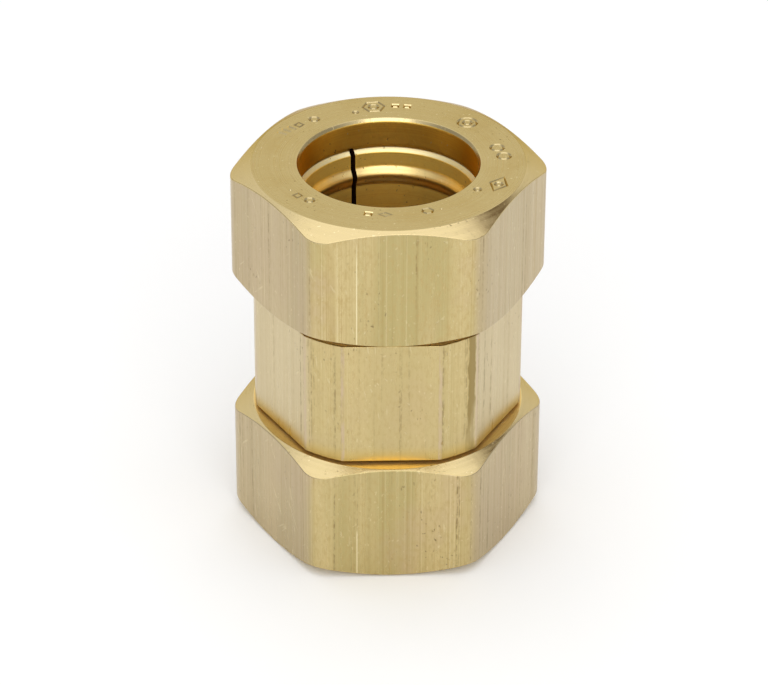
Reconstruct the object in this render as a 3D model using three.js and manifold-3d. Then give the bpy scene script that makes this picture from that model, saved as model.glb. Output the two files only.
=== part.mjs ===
// Straight brass compression coupling for copper-size tube, standing on end.
//
// A hexagonal body carries a threaded stub at each end. On each stub a hexagonal nut pushes a split
// gripper ring and a thrust washer towards a bevelled rubber gasket, which seals on the tube.
// Millimetres, +Z up along the tube's axis, origin at the centre of the lower nut's end face.
//
// Both ends are the same. Each is built outwards from the body's shoulder, at local height 0.
// The lower end is the same design turned over, which keeps its thread right-handed.

import * as THREE from "three";
import { mergeVertices } from "three/addons/utils/BufferGeometryUtils.js";
import Module from "manifold-3d";

const wasm = await Module();
wasm.setup();

// ---- Driving dimensions --------------------------------------------------------------------------

const NUT_APOTHEM = 18.25; // half of the 36.5 across flats
const NUT_LENGTH = 16.9;
const NUT_CORNER_FILLET = 3.9;
const NUT_END_CHAMFER_RADIUS = 17.7; // circle where the outer end face meets its chamfer
const NUT_END_CHAMFER_SLOPE = 0.52; // axial fall per unit of radius
const NUT_MOUTH_CHAMFER_RADIUS = 18.0; // the same at the end that faces the body
const NUT_MOUTH_CHAMFER_SLOPE = 0.55;

const LIP_BORE_RADIUS = 11.6; // clears the 11.1 radius tube
const LIP_BEVEL = 0.3; // radial width of the bore's bevel, twice as deep
const LIP_THICKNESS = 3.96;

const BODY_APOTHEM = 16.55; // half of the 33.1 across flats
const BODY_CORNER_RADIUS = 17.72; // the corners are turned to this radius
const BODY_LENGTH = 17.54; // hexagonal middle, without the stubs
const LOWER_NUT_GAP = 0.34; // from the body's shoulder to each nut, hand tight
const UPPER_NUT_GAP = 0.92;
const LOWER_NUT_TURN = THREE.MathUtils.degToRad(0.4); // nut flats against the body's flats
const UPPER_NUT_TURN = THREE.MathUtils.degToRad(1.6);

const STUB_LENGTH = 7.2; // its end still clears the nut's seat when the nut meets the shoulder
const STUB_END_CHAMFER = 0.7;
const STUB_MOUTH_BEVEL = 0.5; // inside edge of the stub's end
const STUB_RELIEF_LENGTH = 1.3; // plain neck between the shoulder and the thread
const COUNTERBORE_RADIUS = 13.0; // holds gasket, washer and the ring's skirt
const SOCKET_RADIUS = 11.4; // guides the tube's end
const STOP_RADIUS = 9.9; // ridge that the tube's end meets
const STOP_LENGTH = 2.4;
const STOP_BEVEL = 0.5;
const GASKET_SEAT_DEPTH = 1.6; // the counterbore's straight wall ends here, inside the shoulder
const GASKET_SEAT_FALL = 1.3; // the bevelled seat's length

const THREAD_PITCH = 1.8;
const THREAD_ROOT_RADIUS = 14.85;
const THREAD_CREST_RADIUS = 15.75;
const THREAD_CREST_HALF_WIDTH = 0.25;
const THREAD_FLANK_SLOPE = 0.35; // half width gained per unit of depth
const NUT_THREAD_CREST_RADIUS = 15.05;
const NUT_THREAD_ROOT_RADIUS = 16.05;
const NUT_GROOVE_HALF_WIDTH = 0.4; // at the groove's bottom, with room for the stub's thread
const NUT_MOUTH_BEVEL = 1.0; // leads the stub into the thread
const NUT_THREAD_LENGTH = 6.4;
const NUT_RELIEF_LENGTH = 1.0;

const RING_TOP_DEPTH = 4.37; // the ring's outer end, below the nut's outer face
const RING_ENTRY_BEVEL = 0.53; // leads the tube's end into the ring
const RING_LAND_RADIUS = 11.33;
const RING_LAND_LENGTH = 1.8;
const RING_RIB_RADIUS = 10.65; // rounded rib that grips the tube
const RING_RIB_LENGTH = 2.8;
const RING_SKIRT_INNER_RADIUS = 11.05;
const RING_SKIRT_OUTER_RADIUS = 12.7;
const RING_CONE_LENGTH = 4.53;
const RING_CONE_SMALL_RADIUS = 12.8;
const RING_CONE_LARGE_RADIUS = 14.1;
const RING_LENGTH = 8.93;
const RING_SLIT_WIDTH = 0.68;
const RING_SLIT_TURN = THREE.MathUtils.degToRad(112.75); // direction of the slit, from +X
const SEAT_PLAY = 0.4; // radial room between the ring's cone and the nut's seat

const WASHER_GAP = 0.3; // the washer follows the ring at this distance
const WASHER_THICKNESS = 1.2;
const WASHER_INNER_RADIUS = 11.5;
const WASHER_OUTER_RADIUS = 12.7;

const GASKET_TOP = 1.8; // outer end of the gasket, above the shoulder
const GASKET_INNER_RADIUS = 11.3;
const GASKET_OUTER_RADIUS = 12.7;
const GASKET_SEAT_PLAY = 0.3;
const GASKET_FOOT_WIDTH = 0.4; // flat end of the bevelled foot
const GASKET_LIP = 0.35; // small bevel round the gasket's outer end

const ROUND_SEGMENTS = 36; // facets round each turned surface
const THREAD_SEGMENTS = 36; // steps in each turn of thread
const FILLET_SEGMENTS = 4;
const RIB_STEPS = 8;
const THREAD_BURIED = 0.2; // how deep the ridge's root sits inside the stub's core
const REACH = 5; // how far a cutter runs past what it cuts

// ---- Derived heights -----------------------------------------------------------------------------

const LOWER_SHOULDER = NUT_LENGTH + LOWER_NUT_GAP;
const UPPER_SHOULDER = LOWER_SHOULDER + BODY_LENGTH;
const BODY_MIDDLE = (LOWER_SHOULDER + UPPER_SHOULDER) / 2;
const RING_END_IN_NUT = NUT_LENGTH - RING_TOP_DEPTH; // ring's outer end, above the nut's mouth
const LIP_IN_NUT = NUT_LENGTH - LIP_THICKNESS;
const SEAT_START_IN_NUT = NUT_THREAD_LENGTH + NUT_RELIEF_LENGTH;

// ---- Materials -----------------------------------------------------------------------------------

const BRASS = { color: 0xc9b27c, roughness: 0.32, metalness: 1.0 };
const RING_BRASS = { color: 0xb9913f, roughness: 0.38, metalness: 1.0 };
const WASHER_BRASS = { color: 0xbfa262, roughness: 0.42, metalness: 1.0 };
const RUBBER = { color: 0x1c1c1e, roughness: 0.85, metalness: 0.0 };

// ---- Solids --------------------------------------------------------------------------------------

// A closed three.js geometry as a manifold solid.
function solidOf(geometry) {
  const bare = geometry.clone();
  bare.deleteAttribute("normal");
  bare.deleteAttribute("uv");
  const merged = mergeVertices(bare, 1e-4);
  return new wasm.Manifold(
    new wasm.Mesh({
      numProp: 3,
      vertProperties: new Float32Array(merged.attributes.position.array),
      triVerts: new Uint32Array(merged.index.array),
    }),
  );
}

// A manifold solid as a flat-shaded three.js geometry.
function geometryOf(solid) {
  const mesh = solid.getMesh();
  const positions = new Float32Array(mesh.numVert * 3);
  for (let vertex = 0; vertex < mesh.numVert; vertex++) {
    const from = vertex * mesh.numProp;
    positions.set(mesh.vertProperties.subarray(from, from + 3), vertex * 3);
  }
  const indexed = new THREE.BufferGeometry();
  indexed.setAttribute("position", new THREE.BufferAttribute(positions, 3));
  indexed.setIndex(new THREE.BufferAttribute(mesh.triVerts, 1));
  const geometry = indexed.toNonIndexed();
  geometry.computeVertexNormals();
  return geometry;
}

// A solid of revolution about +Z. The profile is a list of [radius, height] corners that runs
// counter-clockwise, with radius to the right and height up, and it is closed here.
function turned(profile) {
  const points = [...profile, profile[0]].map(([radius, height]) => new THREE.Vector2(radius, height));
  const geometry = new THREE.LatheGeometry(points, ROUND_SEGMENTS);
  geometry.rotateX(Math.PI / 2);
  return solidOf(geometry);
}

// A regular hexagonal prism about +Z with one flat facing -Y, its corners rounded when fillet > 0.
function hexagonalPrism(apothem, fillet, bottom, top) {
  const shape = new THREE.Shape();
  const centreDistance = (apothem - fillet) / Math.cos(Math.PI / 6);
  for (let corner = 0; corner < 6; corner++) {
    const direction = (corner * Math.PI) / 3;
    const x = centreDistance * Math.cos(direction);
    const y = centreDistance * Math.sin(direction);
    if (fillet > 0) {
      shape.absarc(x, y, fillet, direction - Math.PI / 6, direction + Math.PI / 6, false);
    } else if (corner === 0) {
      shape.moveTo(x, y);
    } else {
      shape.lineTo(x, y);
    }
  }
  shape.closePath();
  const geometry = new THREE.ExtrudeGeometry(shape, {
    depth: top - bottom,
    bevelEnabled: false,
    curveSegments: FILLET_SEGMENTS,
  });
  geometry.translate(0, 0, bottom);
  return solidOf(geometry);
}

// A right-handed helical ridge about +Z. Its section is a closed list of [radius, height] corners,
// counter-clockwise, and it starts in the direction of +X and climbs one pitch in each turn.
function helicalRidge(section, bottom, top) {
  const turns = Math.ceil((top - bottom) / THREAD_PITCH);
  const steps = turns * THREAD_SEGMENTS;
  const corners = section.length;
  const positions = [];
  for (let step = 0; step <= steps; step++) {
    const turn = step / THREAD_SEGMENTS;
    const angle = turn * 2 * Math.PI;
    for (const [radius, height] of section) {
      const climb = bottom + turn * THREAD_PITCH + height;
      positions.push(radius * Math.cos(angle), radius * Math.sin(angle), climb);
    }
  }
  const faces = [];
  for (let step = 0; step < steps; step++) {
    for (let corner = 0; corner < corners; corner++) {
      const here = step * corners + corner;
      const beside = step * corners + ((corner + 1) % corners);
      faces.push(here, here + corners, beside, beside, here + corners, beside + corners);
    }
  }
  const last = steps * corners;
  for (let corner = 1; corner < corners - 1; corner++) {
    faces.push(0, corner, corner + 1);
    faces.push(last, last + corner + 1, last + corner);
  }
  const geometry = new THREE.BufferGeometry();
  geometry.setAttribute("position", new THREE.Float32BufferAttribute(positions, 3));
  geometry.setIndex(faces);
  return solidOf(geometry);
}

// The section of a thread's ridge between two radii, with a flat crest.
function threadSection(innerRadius, outerRadius, crestHalfWidth) {
  const rootHalfWidth = crestHalfWidth + (outerRadius - innerRadius) * THREAD_FLANK_SLOPE;
  return [
    [innerRadius, -rootHalfWidth],
    [outerRadius, -crestHalfWidth],
    [outerRadius, crestHalfWidth],
    [innerRadius, rootHalfWidth],
  ];
}

// A named mesh with its material.
function piece(name, solid, look) {
  const mesh = new THREE.Mesh(geometryOf(solid), new THREE.MeshStandardMaterial(look));
  mesh.name = name;
  return mesh;
}

// ---- Body ----------------------------------------------------------------------------------------

// One threaded stub, from inside the body's middle to the stub's end.
function threadedStub() {
  const threadStart = STUB_RELIEF_LENGTH + (THREAD_CREST_RADIUS - THREAD_ROOT_RADIUS);
  const core = turned([
    [0, -REACH],
    [THREAD_ROOT_RADIUS, -REACH],
    [THREAD_ROOT_RADIUS, STUB_LENGTH],
    [0, STUB_LENGTH],
  ]);
  const envelope = turned([
    [0, STUB_RELIEF_LENGTH],
    [THREAD_ROOT_RADIUS, STUB_RELIEF_LENGTH],
    [THREAD_CREST_RADIUS, threadStart],
    [THREAD_CREST_RADIUS, STUB_LENGTH - STUB_END_CHAMFER],
    [THREAD_CREST_RADIUS - 2 * STUB_END_CHAMFER, STUB_LENGTH],
    [0, STUB_LENGTH],
  ]);
  const rootRadius = THREAD_ROOT_RADIUS - THREAD_BURIED;
  const section = threadSection(rootRadius, THREAD_CREST_RADIUS, THREAD_CREST_HALF_WIDTH);
  const ridge = helicalRidge(section, 0, STUB_LENGTH + THREAD_PITCH);
  return core.add(ridge.intersect(envelope));
}

// The hollow at one end: counterbore, bevelled gasket seat and tube socket, down to the tube stop.
function endHollow() {
  const seatEnd = -GASKET_SEAT_DEPTH - GASKET_SEAT_FALL;
  const stop = -(BODY_LENGTH - STOP_LENGTH) / 2;
  return turned([
    [0, stop - STOP_BEVEL],
    [STOP_RADIUS, stop - STOP_BEVEL],
    [STOP_RADIUS + STOP_BEVEL, stop],
    [SOCKET_RADIUS, stop],
    [SOCKET_RADIUS, seatEnd],
    [COUNTERBORE_RADIUS, -GASKET_SEAT_DEPTH],
    [COUNTERBORE_RADIUS, STUB_LENGTH - STUB_MOUTH_BEVEL],
    [COUNTERBORE_RADIUS + STUB_MOUTH_BEVEL, STUB_LENGTH],
    [COUNTERBORE_RADIUS + STUB_MOUTH_BEVEL, STUB_LENGTH + REACH],
    [0, STUB_LENGTH + REACH],
  ]);
}

// The same solid at the upper shoulder, and turned over at the lower one.
function atBothEnds(solid) {
  const half = BODY_LENGTH / 2;
  const upper = solid.translate([0, 0, half]);
  const lower = solid.rotate([180, 0, 0]).translate([0, 0, -half]);
  return upper.add(lower);
}

// The body about its own middle.
function makeBody() {
  const half = BODY_LENGTH / 2;
  const hexagon = hexagonalPrism(BODY_APOTHEM, 0, -half, half);
  const corners = turned([
    [0, -half],
    [BODY_CORNER_RADIUS, -half],
    [BODY_CORNER_RADIUS, half],
    [0, half],
  ]);
  const waterway = turned([
    [0, -half],
    [STOP_RADIUS, -half],
    [STOP_RADIUS, half],
    [0, half],
  ]);
  const outside = hexagon.intersect(corners).add(atBothEnds(threadedStub()));
  return outside.subtract(atBothEnds(endHollow())).subtract(waterway);
}

// ---- Nut -----------------------------------------------------------------------------------------

// The nut's outer shape, from its mouth at height 0 to its outer face.
function nutOutside(turn) {
  const beyond = REACH + NUT_END_CHAMFER_RADIUS;
  const endFall = (beyond - NUT_END_CHAMFER_RADIUS) * NUT_END_CHAMFER_SLOPE;
  const mouthRise = (beyond - NUT_MOUTH_CHAMFER_RADIUS) * NUT_MOUTH_CHAMFER_SLOPE;
  const chamfers = turned([
    [0, 0],
    [NUT_MOUTH_CHAMFER_RADIUS, 0],
    [beyond, mouthRise],
    [beyond, NUT_LENGTH - endFall],
    [NUT_END_CHAMFER_RADIUS, NUT_LENGTH],
    [0, NUT_LENGTH],
  ]);
  const degrees = THREE.MathUtils.radToDeg(turn);
  const hexagon = hexagonalPrism(NUT_APOTHEM, NUT_CORNER_FILLET, 0, NUT_LENGTH);
  return hexagon.rotate([0, 0, degrees]).intersect(chamfers);
}

// The radius of the nut's tapered seat at a height in the nut.
function seatRadius(height) {
  const coneStart = RING_END_IN_NUT - RING_CONE_LENGTH;
  const taper = (RING_CONE_LARGE_RADIUS - RING_CONE_SMALL_RADIUS) / RING_CONE_LENGTH;
  return RING_CONE_LARGE_RADIUS + SEAT_PLAY - (height - coneStart) * taper;
}

// The nut's hollow: thread, relief, tapered seat, lip bore and bevel.
function nutHollow() {
  return turned([
    [0, -REACH],
    [NUT_THREAD_CREST_RADIUS + NUT_MOUTH_BEVEL, -REACH],
    [NUT_THREAD_CREST_RADIUS + NUT_MOUTH_BEVEL, 0],
    [NUT_THREAD_CREST_RADIUS, NUT_MOUTH_BEVEL],
    [NUT_THREAD_CREST_RADIUS, NUT_THREAD_LENGTH],
    [NUT_THREAD_ROOT_RADIUS, NUT_THREAD_LENGTH],
    [NUT_THREAD_ROOT_RADIUS, SEAT_START_IN_NUT],
    [seatRadius(SEAT_START_IN_NUT), SEAT_START_IN_NUT],
    [seatRadius(LIP_IN_NUT), LIP_IN_NUT],
    [LIP_BORE_RADIUS, LIP_IN_NUT],
    [LIP_BORE_RADIUS, NUT_LENGTH - 2 * LIP_BEVEL],
    [LIP_BORE_RADIUS + LIP_BEVEL, NUT_LENGTH],
    [LIP_BORE_RADIUS + LIP_BEVEL, NUT_LENGTH + REACH],
    [0, NUT_LENGTH + REACH],
  ]);
}

// The nut's thread groove, in step with the stub's thread when the nut stands off by the gap.
function nutThreadGroove(gap) {
  const section = threadSection(THREAD_ROOT_RADIUS, NUT_THREAD_ROOT_RADIUS, NUT_GROOVE_HALF_WIDTH);
  const groove = helicalRidge(section, -2 * THREAD_PITCH - gap, NUT_THREAD_LENGTH + THREAD_PITCH);
  const top = NUT_THREAD_LENGTH + NUT_RELIEF_LENGTH / 2;
  const limit = turned([
    [0, -REACH],
    [NUT_APOTHEM, -REACH],
    [NUT_APOTHEM, top],
    [0, top],
  ]);
  return groove.intersect(limit);
}

function makeNut(gap, turn) {
  return nutOutside(turn).subtract(nutHollow()).subtract(nutThreadGroove(gap));
}

// ---- Gripper ring --------------------------------------------------------------------------------

// The rounded rib inside the ring, from the land down to the skirt.
function ribProfile(top) {
  const points = [];
  for (let step = 1; step < RIB_STEPS; step++) {
    const share = step / RIB_STEPS;
    const edge = THREE.MathUtils.lerp(RING_LAND_RADIUS, RING_SKIRT_INNER_RADIUS, share);
    const bulge = (1 - Math.cos(2 * Math.PI * share)) / 2;
    const radius = THREE.MathUtils.lerp(edge, RING_RIB_RADIUS, bulge);
    points.push([radius, top - share * RING_RIB_LENGTH]);
  }
  return points;
}

// The split ring from its inner end at height 0, with its slit towards the given direction.
function makeGripperRing(slitTurn) {
  const coneStart = RING_LENGTH - RING_CONE_LENGTH;
  const landEnd = RING_LENGTH - RING_ENTRY_BEVEL;
  const landStart = landEnd - RING_LAND_LENGTH;
  const ring = turned([
    [RING_SKIRT_INNER_RADIUS, 0],
    [RING_SKIRT_OUTER_RADIUS, 0],
    [RING_SKIRT_OUTER_RADIUS, coneStart],
    [RING_CONE_LARGE_RADIUS, coneStart],
    [RING_CONE_SMALL_RADIUS, RING_LENGTH],
    [RING_LAND_RADIUS + RING_ENTRY_BEVEL, RING_LENGTH],
    [RING_LAND_RADIUS, landEnd],
    [RING_LAND_RADIUS, landStart],
    ...ribProfile(landStart),
    [RING_SKIRT_INNER_RADIUS, landStart - RING_RIB_LENGTH],
  ]);
  const slit = new THREE.BoxGeometry(RING_CONE_LARGE_RADIUS, RING_SLIT_WIDTH, RING_LENGTH + 2 * REACH);
  slit.translate(RING_CONE_LARGE_RADIUS, 0, RING_LENGTH / 2);
  slit.rotateZ(slitTurn);
  return ring.subtract(solidOf(slit));
}

// ---- Washer and gasket ---------------------------------------------------------------------------

function makeThrustWasher() {
  return turned([
    [WASHER_INNER_RADIUS, 0],
    [WASHER_OUTER_RADIUS, 0],
    [WASHER_OUTER_RADIUS, WASHER_THICKNESS],
    [WASHER_INNER_RADIUS, WASHER_THICKNESS],
  ]);
}

// The gasket in the end's own heights. Its bevelled foot follows the body's seat.
function makeGasket() {
  const foot = -GASKET_SEAT_DEPTH - GASKET_SEAT_FALL + GASKET_SEAT_PLAY;
  const seatTaper = (COUNTERBORE_RADIUS - SOCKET_RADIUS) / GASKET_SEAT_FALL;
  const footRadius = GASKET_INNER_RADIUS + GASKET_FOOT_WIDTH;
  const bevelTop = foot + (GASKET_OUTER_RADIUS - footRadius) / seatTaper;
  return turned([
    [GASKET_INNER_RADIUS, foot],
    [footRadius, foot],
    [GASKET_OUTER_RADIUS, bevelTop],
    [GASKET_OUTER_RADIUS, GASKET_TOP - GASKET_LIP],
    [GASKET_OUTER_RADIUS - GASKET_LIP, GASKET_TOP],
    [GASKET_INNER_RADIUS, GASKET_TOP],
  ]);
}

// ---- Assembly ------------------------------------------------------------------------------------

// One end's nut, gripper ring, thrust washer and gasket, outwards from the shoulder at height 0.
function makeEnd(side, gap, nutTurn, slitTurn) {
  const end = new THREE.Group();
  const nut = piece(`${side}_nut`, makeNut(gap, nutTurn), BRASS);
  nut.position.z = gap;
  const ring = piece(`${side}_gripper_ring`, makeGripperRing(slitTurn), RING_BRASS);
  ring.position.z = gap + RING_END_IN_NUT - RING_LENGTH;
  const washer = piece(`${side}_thrust_washer`, makeThrustWasher(), WASHER_BRASS);
  washer.position.z = ring.position.z - WASHER_GAP - WASHER_THICKNESS;
  const gasket = piece(`${side}_gasket`, makeGasket(), RUBBER);
  end.add(nut, ring, washer, gasket);
  return end;
}

function makeCoupling() {
  const coupling = new THREE.Group();
  coupling.name = "compression_coupling";
  const body = piece("body", makeBody(), BRASS);
  body.position.z = BODY_MIDDLE;
  const upper = makeEnd("upper", UPPER_NUT_GAP, UPPER_NUT_TURN, RING_SLIT_TURN);
  upper.position.z = UPPER_SHOULDER;
  const lower = makeEnd("lower", LOWER_NUT_GAP, -LOWER_NUT_TURN, RING_SLIT_TURN);
  lower.rotation.x = Math.PI;
  lower.position.z = LOWER_SHOULDER;
  coupling.add(body, upper, lower);
  return coupling;
}

export default makeCoupling();
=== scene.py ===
"""The looks of a straight brass compression coupling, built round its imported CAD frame.

Every piece is a fine mesh made here: turned, drawn and threaded shapes that follow the CAD
solids, with rounded edges. Lengths in this script are millimetres until mesh_piece() turns
them into metres. An "end" is one half of the coupling, whose heights run outwards from the
body's shoulder, and the lower end is the same design turned over.
"""

import math

import bmesh
import bpy
from mathutils import Matrix, Vector


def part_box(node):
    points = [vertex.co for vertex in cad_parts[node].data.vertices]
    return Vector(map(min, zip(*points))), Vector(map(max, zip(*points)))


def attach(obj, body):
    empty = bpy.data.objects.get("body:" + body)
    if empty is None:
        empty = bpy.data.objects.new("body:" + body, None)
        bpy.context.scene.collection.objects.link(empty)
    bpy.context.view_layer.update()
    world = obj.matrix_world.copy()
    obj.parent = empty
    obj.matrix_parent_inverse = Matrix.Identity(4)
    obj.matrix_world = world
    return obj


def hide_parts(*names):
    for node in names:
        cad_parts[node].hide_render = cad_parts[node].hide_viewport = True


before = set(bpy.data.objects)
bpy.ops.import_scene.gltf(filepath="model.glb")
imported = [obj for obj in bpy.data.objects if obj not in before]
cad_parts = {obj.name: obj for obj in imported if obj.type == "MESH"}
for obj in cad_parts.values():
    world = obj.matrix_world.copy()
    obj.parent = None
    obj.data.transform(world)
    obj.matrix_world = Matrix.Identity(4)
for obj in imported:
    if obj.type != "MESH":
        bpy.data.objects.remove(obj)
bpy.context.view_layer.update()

MM = 0.001

# ---- Dimensions ----------------------------------------------------------------------------------

NUT_APOTHEM = 18.25
NUT_FILLET = 3.9
NUT_FACE_RADIUS = 17.7  # circle where the outer end face meets its chamfer
NUT_FACE_SLOPE = 0.52
NUT_MOUTH_RADIUS = 18.0
NUT_MOUTH_SLOPE = 0.55
LIP_BORE = 11.6
LIP_BEVEL = 0.3
LIP_BEVEL_SLOPE = 1.6
LIP_THICKNESS = 3.96
NUT_TURN = {"upper": math.radians(1.6), "lower": math.radians(-0.4)}

BODY_LOW, BODY_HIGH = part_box("body")
BODY_APOTHEM = BODY_HIGH.y / MM
BODY_CORNER_RADIUS = 17.72
BODY_LENGTH = 17.54
STUB_LENGTH = (BODY_HIGH.z - BODY_LOW.z) / MM / 2 - BODY_LENGTH / 2
COUNTERBORE = 13.0
SOCKET = 11.4
STOP = 9.9
STOP_LENGTH = 2.4

PITCH = 1.8
THREAD_ROOT = 14.85
THREAD_CREST = 15.75
CREST_HALF_WIDTH = 0.25
FLANK_SLOPE = 0.35
NUT_THREAD_CREST = 15.05
NUT_THREAD_ROOT = 16.05
NUT_CREST_GAP = 0.4  # half width of the nut's groove at its bottom
NUT_THREAD_LENGTH = 6.4
NUT_SEAT_START = 7.4

RING_LAND = 11.33
RING_LAND_LENGTH = 1.8
RING_RIB = 10.65
RING_RIB_LENGTH = 2.8
RING_SKIRT_INNER = 11.05
RING_SKIRT_OUTER = 12.7
RING_CONE_SMALL = 12.8
RING_CONE_LARGE = 14.1
RING_CONE_LENGTH = 4.53
RING_ENTRY_BEVEL = 0.53  # leads the tube's end into the ring
RING_SLIT_WIDTH = 0.68
RING_SLIT_TURN = math.radians(112.75)

BODY_MIDDLE = (BODY_LOW.z + BODY_HIGH.z) / 2 / MM
SHOULDER = {"upper": BODY_MIDDLE + BODY_LENGTH / 2, "lower": BODY_MIDDLE - BODY_LENGTH / 2}


def end_heights(side, node):
    """A node's inner and outer height in its end, in millimetres from the shoulder."""
    outward = 1 if side == "upper" else -1
    return sorted(outward * (corner.z / MM - SHOULDER[side]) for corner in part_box(node))


# ---- Finishes ------------------------------------------------------------------------------------

# A face's finish is the index of one of its piece's materials.
DRAWN, TURNED, BORE, CHAMFERED, FACED, MOUTH = range(6)  # the body and the nuts
WALL, ENTRY, SAWN, RIB = range(4)  # the split rings
PLAIN = 0  # the washers and gaskets, which have one material

# ---- Outlines ------------------------------------------------------------------------------------

TURN = 2 * math.pi
SIXTH = math.pi / 3
BODY_CORNER_HALF_ANGLE = SIXTH / 2 - math.acos(BODY_APOTHEM / BODY_CORNER_RADIUS)
FILLET_STEPS = 14
FLAT_STEPS = 18
ROUND_STEPS = 4


def fillet_half_angle(apothem, fillet):
    """Half the direction range that a rounded hexagon's corner fillet takes up."""
    centre = (apothem - fillet) / math.cos(SIXTH / 2)
    return math.atan2(fillet / 2, centre + fillet * math.cos(SIXTH / 2))


def hexagon_radius(direction, apothem, fillet):
    """Distance from the axis to a hexagon with rounded corners, one flat facing -Y."""
    from_corner = abs((direction + SIXTH / 2) % SIXTH - SIXTH / 2)
    if from_corner >= fillet_half_angle(apothem, fillet):
        return apothem / math.cos(SIXTH / 2 - from_corner)
    centre = (apothem - fillet) / math.cos(SIXTH / 2)
    across = centre * math.sin(from_corner)
    return centre * math.cos(from_corner) + math.sqrt(fillet**2 - across**2)


def hexagon_directions(corner_half_angle, turn):
    """Directions round a hexagon, closer together at its corners."""
    found = []
    for corner in range(6):
        middle = corner * SIXTH + turn
        for step in range(FILLET_STEPS):
            share = 2 * step / FILLET_STEPS - 1
            found.append(middle + share * corner_half_angle)
        for step in range(FLAT_STEPS):
            share = step / FLAT_STEPS
            found.append(middle + corner_half_angle + share * (SIXTH - 2 * corner_half_angle))
    return found


def rounded(corners):
    """An outline from its first corner to its last, with the corners between them rounded.

    Each corner is (radius, height, setback, finish). The finish belongs to the face that
    follows the corner, and a corner without a setback stays sharp.
    """
    outline = []
    for index, (radius, height, setback, finish) in enumerate(corners):
        if not setback:
            outline.append((radius, height, finish))
            continue
        here = Vector((radius, height))
        before = Vector(corners[index - 1][:2]) - here
        after = Vector(corners[index + 1][:2]) - here
        start = here + before.normalized() * setback
        stop = here + after.normalized() * setback
        for step in range(ROUND_STEPS + 1):
            share = step / ROUND_STEPS
            point = start * (1 - share) ** 2 + here * 2 * share * (1 - share) + stop * share**2
            outline.append((point.x, point.y, finish))
    return outline


EDGE_SOFTNESS = 0.05  # along the axis, on each side of a thread's edges


def ridge_depth(from_centre, half_width):
    """How far below its crest a thread is, at a distance along the axis from a crest's centre."""
    near = abs((from_centre + PITCH / 2) % PITCH - PITCH / 2)
    shifts = (-EDGE_SOFTNESS, 0, EDGE_SOFTNESS)
    depths = [max(0.0, near + shift - half_width) / FLANK_SLOPE for shift in shifts]
    return sum(depths) / len(shifts)


# Places along one pitch, from a crest's centre, that a thread's outline needs.
THREAD_PLACES = [0, 0.18, 0.25, 0.32, 0.52, 0.6, 0.72, 1.08, 1.2, 1.28, 1.48, 1.55, 1.62, 1.71]


def thread_rows(low, high, crest_height, direction, radius_at, finish):
    """The rows of a threaded wall at one direction, climbing with the helix between two heights."""
    climb = PITCH * direction / TURN
    first = math.floor((low - crest_height) / PITCH) - 2
    last = math.ceil((high - crest_height) / PITCH) + 1
    rows = []
    for crest in range(first, last + 1):
        for place in THREAD_PLACES:
            height = crest_height + crest * PITCH + place + climb
            height = min(max(height, low), high)
            rows.append((radius_at(height, direction), height, finish))
    return rows


# ---- Meshes --------------------------------------------------------------------------------------


def add_column(made, rows, direction):
    """The vertices of an outline's rows at one direction."""
    return [
        made.verts.new((radius * math.cos(direction), radius * math.sin(direction), height))
        for radius, height, _ in rows
    ]


def join_columns(made, here, following, finishes, seam=None):
    """The faces between two columns. seam(row) is the row that a row meets in the following one."""
    count = len(here)
    for row in range(count):
        above = (row + 1) % count
        there = seam(row) if seam else row
        there_above = seam(above) if seam else above
        corners = [here[row], following[there], following[there_above], here[above]]
        corners = list(dict.fromkeys(corners))
        if len(corners) > 2:
            made.faces.new(corners).material_index = finishes[row]


def swept_mesh(directions, outline, threads=()):
    """A closed mesh round the axis, whose outline(direction) lists (radius, height, finish) rows.

    threads are (first row, last row, step) blocks whose rows climb one pitch in a turn. Where
    the sweep closes, each meets the row that is one step further on, which is one pitch away.
    """
    def seam(row):
        for first, last, step in threads:
            if first <= row <= last:
                return min(max(row + step, first), last)
        return row

    made = bmesh.new()
    outlines = [outline(direction) for direction in directions]
    finishes = [row[2] for row in outlines[0]]
    columns = [add_column(made, rows, direction) for rows, direction in zip(outlines, directions)]
    for here, following in zip(columns, columns[1:]):
        join_columns(made, here, following, finishes)
    join_columns(made, columns[-1], columns[0], finishes, seam)
    return made


def split_mesh(slit_turn, slit_width, columns, outline):
    """A ring with a slit: a closed mesh swept from one wall of the slit round to the other."""
    made = bmesh.new()
    rings = []
    for step in range(columns + 1):
        share = step / columns
        points = []
        for radius, height, _ in outline:
            half = math.asin(slit_width / 2 / radius)
            direction = slit_turn + half + share * (TURN - 2 * half)
            points.append((radius * math.cos(direction), radius * math.sin(direction), height))
        rings.append([made.verts.new(point) for point in points])
    count = len(outline)
    for here, following in zip(rings, rings[1:]):
        for row in range(count):
            above = (row + 1) % count
            face = made.faces.new([here[row], following[row], following[above], here[above]])
            face.material_index = outline[row][2]
    for ring, turned_over in ((rings[0], False), (rings[-1], True)):
        face = made.faces.new(list(reversed(ring)) if turned_over else ring)
        face.material_index = SAWN
    return made


MERGE_DISTANCE = 0.0005


def mesh_piece(name, made, side, materials):
    """An object in metres from a bmesh in millimetres.

    The bmesh is in the heights of the end on its side, or in the frame's where it has no side.
    """
    bmesh.ops.remove_doubles(made, verts=made.verts, dist=MERGE_DISTANCE)
    bmesh.ops.recalc_face_normals(made, faces=made.faces)
    matrix = Matrix.Scale(MM, 4)
    if side:
        matrix = matrix @ Matrix.Translation((0, 0, SHOULDER[side]))
    if side == "lower":
        matrix = matrix @ Matrix.Rotation(math.pi, 4, "X")
    made.transform(matrix)
    mesh = bpy.data.meshes.new(name)
    made.to_mesh(mesh)
    made.free()
    for material in materials:
        mesh.materials.append(material)
    piece = bpy.data.objects.new(name, mesh)
    bpy.context.scene.collection.objects.link(piece)
    return piece


SHARP_EDGE = math.radians(35)
FACE_WEIGHT = 60


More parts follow.
